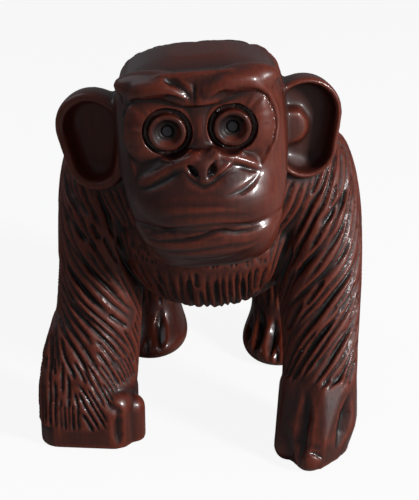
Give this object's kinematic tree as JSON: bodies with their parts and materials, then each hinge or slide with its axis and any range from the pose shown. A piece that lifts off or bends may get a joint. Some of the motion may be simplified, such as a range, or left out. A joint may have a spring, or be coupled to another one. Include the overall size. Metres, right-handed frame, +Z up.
{
  "type": "ape figurine",
  "caption": "Carved hardwood ape standing on its knuckles and feet, with a broad flat face, ringed eyes with dark inlaid pupils, and large cupped ears.",
  "frame": {"origin": "middle of the bounding box, on the surface that the hands and feet stand on", "axes": "+Z up, -Y the way the ape faces, +X towards the ape's left hand"},
  "size_m": [0.1184, 0.1444, 0.1513],
  "materials": {
    "stained_wood": "red-brown stained hardwood under gloss lacquer, darker in the cuts",
    "pupil_inlay": "near-black polished peg"
  },
  "bodies": {
    "root": {"carved_figure": "stained_wood", "left_pupil": "pupil_inlay", "right_pupil": "pupil_inlay"}
  },
  "joints": []
}
